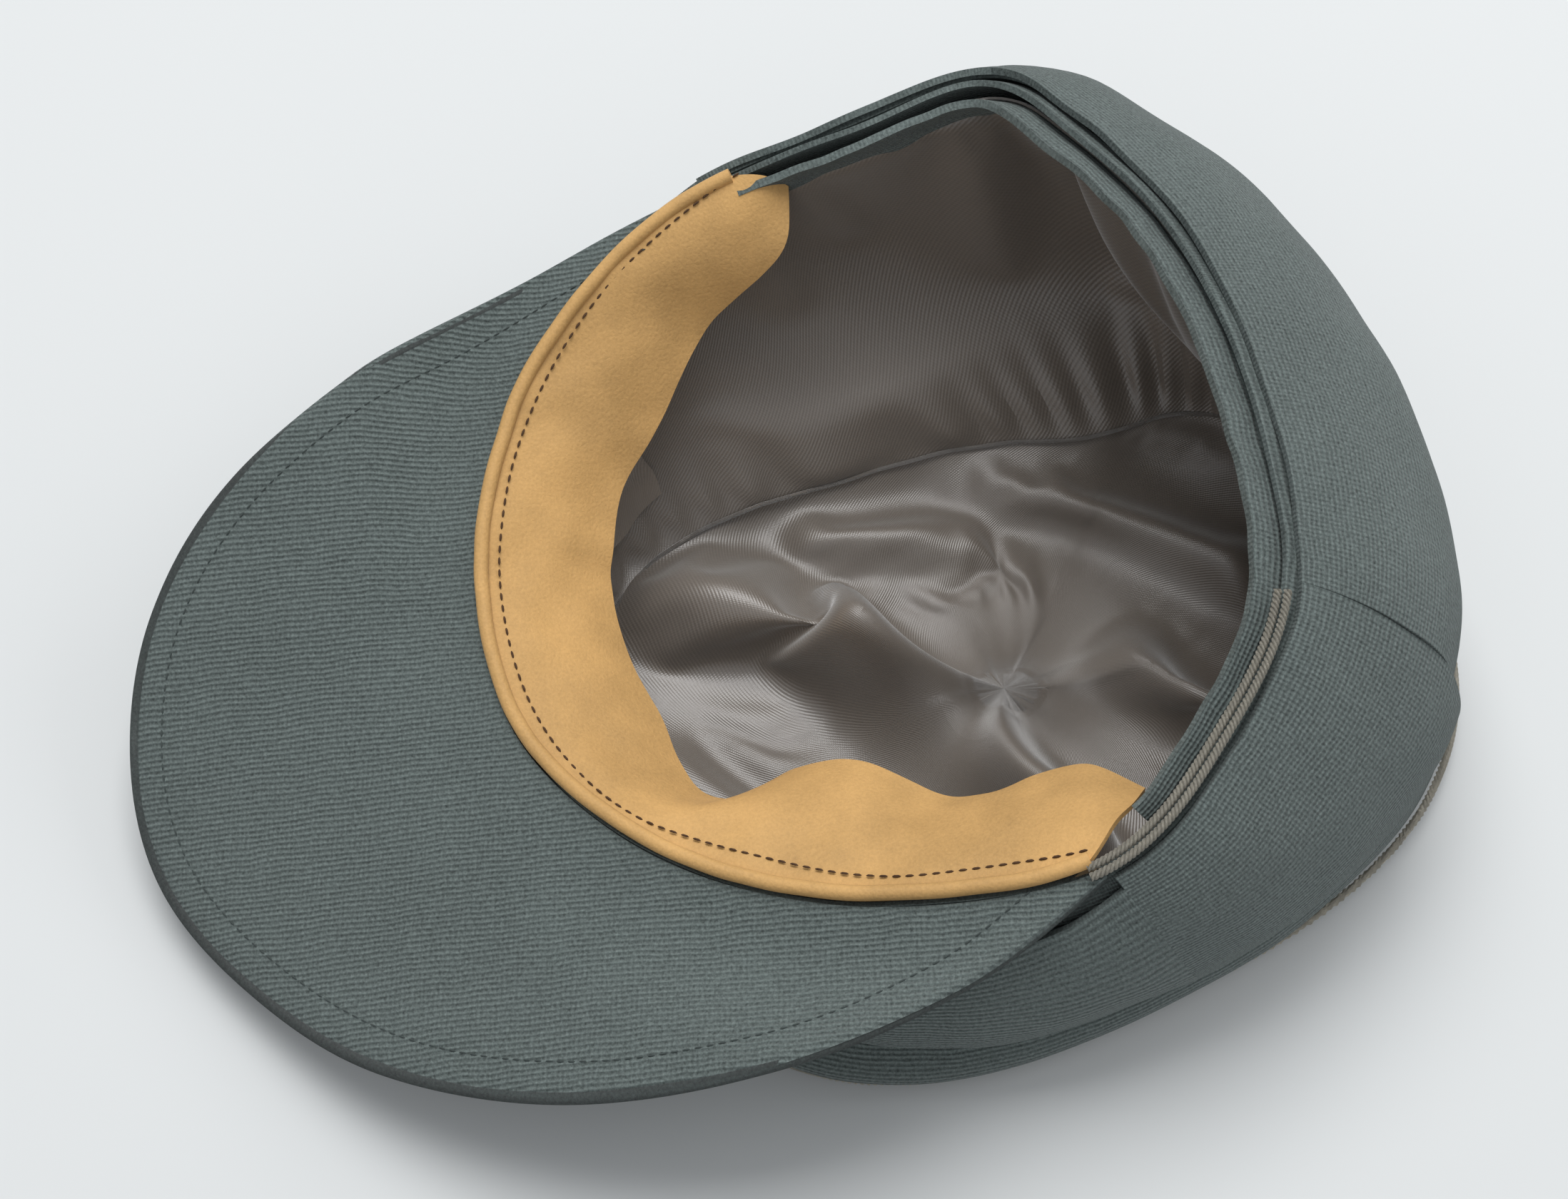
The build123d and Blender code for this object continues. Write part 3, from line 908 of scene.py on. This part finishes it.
class CAP_OT_peak(bpy.types.Operator):
    """Make the peak: board, two cloth covers, edge seam and stitch row"""
    bl_idname = "cap.peak"
    bl_label = "Peak"

    def execute(self, context):
        under = peak_grid(0.45, 0.0)
        for k in (1, 2):
            under[-k][:, 2] -= 0.9 / k
        under = ripple(under, 0.35, 30.0, 1.0)
        covers = {"peak_cloth_under": (under, 0.9, "peak_under_cover"),
                  "peak_cloth_upper": (peak_grid(3.75, 0.0), 0.8, "peak_upper_cover"),
                  "peak_inner_board": (peak_grid(2.0, 4.0), 1.7, "peak_board")}
        for name, (grid, thick, node) in covers.items():
            cover = sheet_object(name, grid, thick=thick)
            flat_uv(cover, math.radians(60))
            board = node == "peak_board"
            dress(cover, board_fibre() if board else cap_cloth(), "cap", "board" if board else "cloth", node)
        rim_line = peak_grid(2.1, 0.9, 3)[-1]
        edge = tube("peak_edge_roll", rim_line, 1.75, sides=12)
        dress(edge, cap_cloth(0.6), "cap", "cloth", "peak_edge_seam")
        line = ripple(rounded(peak_grid(-0.14, 7.5, 3)[-1][6:-6], 700, False), 0.35, 30.0, 1.0)
        row = stitches("peak_stitch_row", line, 2.6, 1.7, 0.2)
        dress(row, cloth_thread(), "cap", "thread", "peak_stitching")
        return {"FINISHED"}


# each flap panel's two ends, as rays from the hub, and the share of its free edge
FLAP_PANELS = {
    "back": ((62.0, 54.0), (-74.0, 66.0), 0.48),
    "right": ((92.0, -5.0), (62.0, 54.0), 0.33),
    "left": ((-74.0, 66.0), (-93.0, 3.0), 0.38),
}


def flap_swell(share, low):
    """How far the flap's outer ply stands off the wall: full at a shoulder, turned in at its free edge."""
    f = min(max((share - low) / (FLAP_TOP - low), 0.0), 1.0)
    return 2.4 + 5.0 * math.sin(math.pi * f ** 0.7) ** 0.9


class CAP_OT_flap(bpy.types.Operator):
    """Make the turn-up flap's panels with their facing plies and the two front tabs"""
    bl_idname = "cap.flap"
    bl_label = "Turn-up flap"

    def execute(self, context):
        for side, (start, end, low) in FLAP_PANELS.items():
            picks = span(share_at(start), share_at(end))
            facing = wall_grid(np.linspace(low + 0.01, FACING_TOP, 26), FACING_SET_OUT, picks)
            inner = sheet_object(f"flap_{side}_lining_ply", facing, thick=FACING_CLOTH)
            dress(inner, cap_cloth(), f"flap_{side}", "cloth", f"flap_{side}_facing")
            declare(inner)
            shares = np.linspace(low, FLAP_TOP, 40)
            outer = wall_grid(shares, [flap_swell(v, low) for v in shares], picks)
            outer = ripple(outer, *FLAP_RIPPLE)
            ply = sheet_object(f"flap_{side}_cloth", outer, thick=FLAP_CLOTH)
            dress(ply, cap_cloth(), f"flap_{side}", "cloth", f"flap_{side}_outer")
            declare(ply)
        tabs = {"right": ((-4.0, -90.0), (92.0, -5.0)), "left": ((-93.0, 3.0), (-4.0, -90.0))}
        for side, (start, end) in tabs.items():
            picks = span(share_at(start), share_at(end))
            along = np.linspace(0, 1, len(picks))
            along = 1 - along if side == "right" else along
            wing = FLAP_PANELS[side][2]
            free_edge = (wing, wing + 0.01, wing + 0.08, 0.50, 0.34, 0.22)
            low = np.interp(along, (0, 0.14, 0.26, 0.40, 0.65, 1), free_edge)
            high = np.interp(along, (0, 0.08, 0.3, 1), (0.95, 0.90, 0.82, 0.79))
            grid = []
            for f in np.linspace(0, 1, 30):
                shares = low + (high - low) * f
                every = {v: ring(v, flap_swell(v, wing)) for v in set(shares)}
                grid.append([every[v][k] for v, k in zip(shares, picks)])
            tab = sheet_object(f"tab_{side}_cloth", ripple(np.array(grid), *FLAP_RIPPLE), thick=FLAP_CLOTH)
            dress(tab, cap_cloth(), f"tab_{side}", "cloth", f"front_tab_{side}")
            declare(tab)
        picks = span(share_at((-16, -90)), share_at((16, -90)))
        tongue_grid = wall_grid(np.linspace(0.26, 0.75, 14), 7.2, picks)
        tongue = sheet_object("front_tongue_cloth", tongue_grid, thick=1.5)
        dress(tongue, cap_cloth(), "tab_right", "cloth", "front_tongue")
        declare(tongue)
        return {"FINISHED"}


class CAP_OT_trims(bpy.types.Operator):
    """Make the crown piping, the twin cord, the inner band, the seam tape and the buttons"""
    bl_idname = "cap.trims"
    bl_label = "Trims"

    def execute(self, context):
        # the piping takes the cord's colour made 1.15 times brighter; the extra brightness is painted light
        # against the shade low on the crown
        piping = tube("crown_piping_cord", ring(0.072, 1.45), 0.62, closed=True, sides=6, strands=3, lay=4.0,
                      spread=0.5)
        dress(piping, cord_braid(1.15), "cap", "cord", "crown_piping")
        picks = span(share_at((91, -9)), share_at((62, 50)))
        for name, grow in (("inner", -2.7), ("outer", -0.7)):
            line = ring(1.0, grow + 2.4)[picks] + np.array([0, 0, 1.6])
            line = rounded(line, 260, False)
            cord = tube(f"opening_cord_{name}", line, 0.5, sides=6, strands=3, lay=3.2, spread=0.46)
            dress(cord, cord_braid(), "cap", "cord", f"rim_cord_{name}")
        picks = span(share_at((91, 6)), share_at((-87, 10)))
        band = ripple(wall_grid(np.linspace(0.88, 1.0, 10), -BAND_SET_IN, picks), 0.5, 8.0, 6.0)
        ply = sheet_object("opening_band", band, thick=BAND_CLOTH)
        dress(ply, cap_cloth(), "cap", "cloth", "rim_band")
        declare(ply)
        picks = span(share_at((26, 82)), share_at((14, 88)))
        tape = sheet_object("back_tape", wall_grid(np.linspace(0.55, 0.89, 12), -5.2, picks), thick=0.8)
        dress(tape, cloth_thread(), "cap", "thread", "back_seam_tape")
        declare(tape)
        for node, label in (("front_button_upper", "button_upper"), ("front_button_lower", "button_lower")):
            low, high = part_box(node)
            self.button(label, node, (Vector(low) + Vector(high)) / 2)
        stiff = wall_grid(np.linspace(0.2, 0.93, 16), -2.3, span(share_at((-85, -46)), share_at((78, -60))))
        inner = sheet_object("front_stay", stiff, thick=0.7)
        dress(inner, board_fibre(), "cap", "board", "front_stiffener")
        declare(inner)
        return {"FINISHED"}

    def button(self, label, node, centre):
        """A domed button with a rolled rim, modelled flat and then stood against the tongue."""
        bpy.ops.object.select_all(action="DESELECT")
        bpy.ops.mesh.primitive_cylinder_add(vertices=40, radius=0.0046, depth=0.0016, location=(0, 0, 0))
        obj = bpy.context.object
        obj.name = label
        bm = bmesh.new()
        bm.from_mesh(obj.data)
        top = [f for f in bm.faces if f.normal.z > 0.9]
        for inset, lift in ((0.0006, -0.0003), (0.0012, 0.0006), (0.0014, 0.0003)):
            bmesh.ops.inset_region(bm, faces=top, thickness=inset, depth=0.0)
            for v in {v for f in top for v in f.verts}:
                v.co.z += lift
        rotation = Matrix.Rotation(math.radians(90), 4, "X")
        bmesh.ops.transform(bm, matrix=Matrix.Translation(centre) @ rotation, verts=bm.verts)
        bm.to_mesh(obj.data)
        bm.free()
        apply_modifier(obj, "BEVEL", width=0.0002, segments=2)
        smooth(obj)
        dress(obj, painted_metal(), "tab_right", "button", node)


EYE = (0.18992, -0.17382, 0.52326)
EYE_BACK = (0.4065743, -0.23473578, 0.88294759)
FLOOR_REACH = 3
FLOOR_COLOUR = (0.63, 0.645, 0.645, 1)
SKY_COLOUR = (0.93, 0.96, 1.0, 1)
SKY_STRENGTH = 0.44
# each lamp's name, place in metres, width in metres and power in watts
LAMPS = (
    ("key", (-0.8, 0.3, 2.1), 1.5, 44.0),
    ("fill", (0.9, -0.9, 1.1), 1.4, 2.2),
    ("rim", (0.3, 1.3, 1.0), 1.0, 5.0),
)


class CAP_OT_stage(bpy.types.Operator):
    """Set the camera, the pale floor and the soft studio lights"""
    bl_idname = "cap.stage"
    bl_label = "Camera, floor and lights"

    def execute(self, context):
        camera = bpy.data.cameras.new("camera")
        eye = bpy.data.objects.new("camera", camera)
        bpy.context.scene.collection.objects.link(eye)
        eye.location = EYE
        eye.rotation_euler = Vector(EYE_BACK).to_track_quat("Z", "Y").to_euler()
        camera.lens = 55
        camera.sensor_width = 36
        camera.clip_start = 0.01
        bpy.context.scene.camera = eye
        floor_mesh = bpy.data.meshes.new("floor")
        corners = [(x * FLOOR_REACH, y * FLOOR_REACH, 0) for x, y in ((-1, -1), (1, -1), (1, 1), (-1, 1))]
        floor_mesh.from_pydata(corners, [], [(0, 1, 2, 3)])
        floor = bpy.data.objects.new("floor", floor_mesh)
        bpy.context.scene.collection.objects.link(floor)
        mat = bpy.data.materials.new("Pale Floor")
        mat.use_nodes = True
        shader = mat.node_tree.nodes["Principled BSDF"]
        shader.inputs["Base Color"].default_value = FLOOR_COLOUR
        shader.inputs["Roughness"].default_value = 0.7
        floor.data.materials.append(mat)
        for lamp in LAMPS:
            self.lamp(*lamp)
        world = bpy.data.worlds.new("studio")
        bpy.context.scene.world = world
        world.use_nodes = True
        sky = world.node_tree.nodes["Background"]
        sky.inputs["Color"].default_value = SKY_COLOUR
        sky.inputs["Strength"].default_value = SKY_STRENGTH
        bpy.context.scene.view_settings.view_transform = "Standard"
        return {"FINISHED"}

    def lamp(self, name, place, size, power):
        """A square area lamp aimed at the cap."""
        data = bpy.data.lights.new(name, "AREA")
        data.size = size
        data.energy = power
        obj = bpy.data.objects.new(name, data)
        bpy.context.scene.collection.objects.link(obj)
        obj.location = place
        aim = Vector(place) - Vector((0, 0, 0.04))
        obj.rotation_euler = aim.to_track_quat("Z", "Y").to_euler()


class CAP_PT_panel(bpy.types.Panel):
    """Sizes and colours of the cap, and its pieces"""
    bl_idname = "CAP_PT_panel"
    bl_label = "Soft Peaked Cap"
    bl_space_type = "VIEW_3D"
    bl_region_type = "UI"
    bl_category = "Cap"

    def draw(self, context):
        sizes = context.scene.cap_sizes
        for name in ("rib_pitch", "lining_slack", "stitch_pitch", "cloth", "lining", "leather", "cord"):
            self.layout.prop(sizes, name)
        for piece in PIECES:
            self.layout.operator(piece.bl_idname)


PIECES = (
    CAP_OT_stage,
    CAP_OT_wall,
    CAP_OT_lining,
    CAP_OT_sweatband,
    CAP_OT_peak,
    CAP_OT_flap,
    CAP_OT_trims,
)


def register():
    for item in (CapSizes, *PIECES, CAP_PT_panel):
        bpy.utils.register_class(item)
    bpy.types.Scene.cap_sizes = PointerProperty(type=CapSizes)


def unregister():
    del bpy.types.Scene.cap_sizes
    for item in reversed((CapSizes, *PIECES, CAP_PT_panel)):
        bpy.utils.unregister_class(item)


def main():
    register()
    for piece in PIECES:
        group, action = piece.bl_idname.split(".")
        getattr(getattr(bpy.ops, group), action)()


if __name__ == "__main__":
    main()
